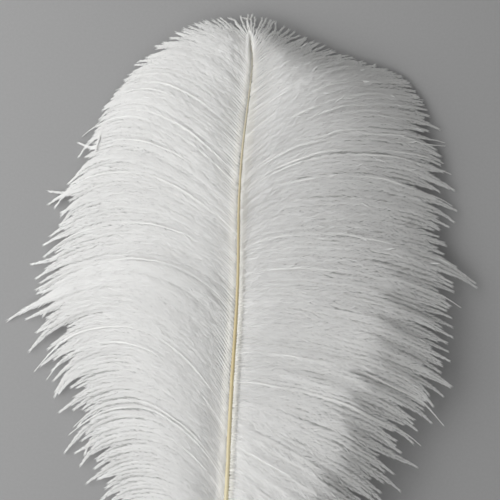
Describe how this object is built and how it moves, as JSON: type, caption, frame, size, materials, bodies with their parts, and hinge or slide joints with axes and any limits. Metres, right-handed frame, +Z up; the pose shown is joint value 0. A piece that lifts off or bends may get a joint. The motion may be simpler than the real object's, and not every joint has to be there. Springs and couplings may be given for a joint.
{
  "type": "ostrich feather",
  "caption": "Full soft ostrich plume with a slender arched shaft and broad drooping vanes, lying rounded side up; for trims, fans and displays.",
  "frame": {"origin": "centre of the bounding box in plan, on the surface that the feather lies on", "axes": "+Y along the shaft towards the tip, +X to the right seen from above, +Z up from the surface through the rounded side"},
  "size_m": [0.1919, 0.3495, 0.0211],
  "materials": {
    "shaft": "horn-like keratin, cream to gold, softly polished",
    "barbs": "white downy keratin barbs with barbules, silky and slightly translucent"
  },
  "bodies": {
    "root": {"shaft": "shaft", "left_vane": "barbs", "right_vane": "barbs"}
  },
  "joints": []
}
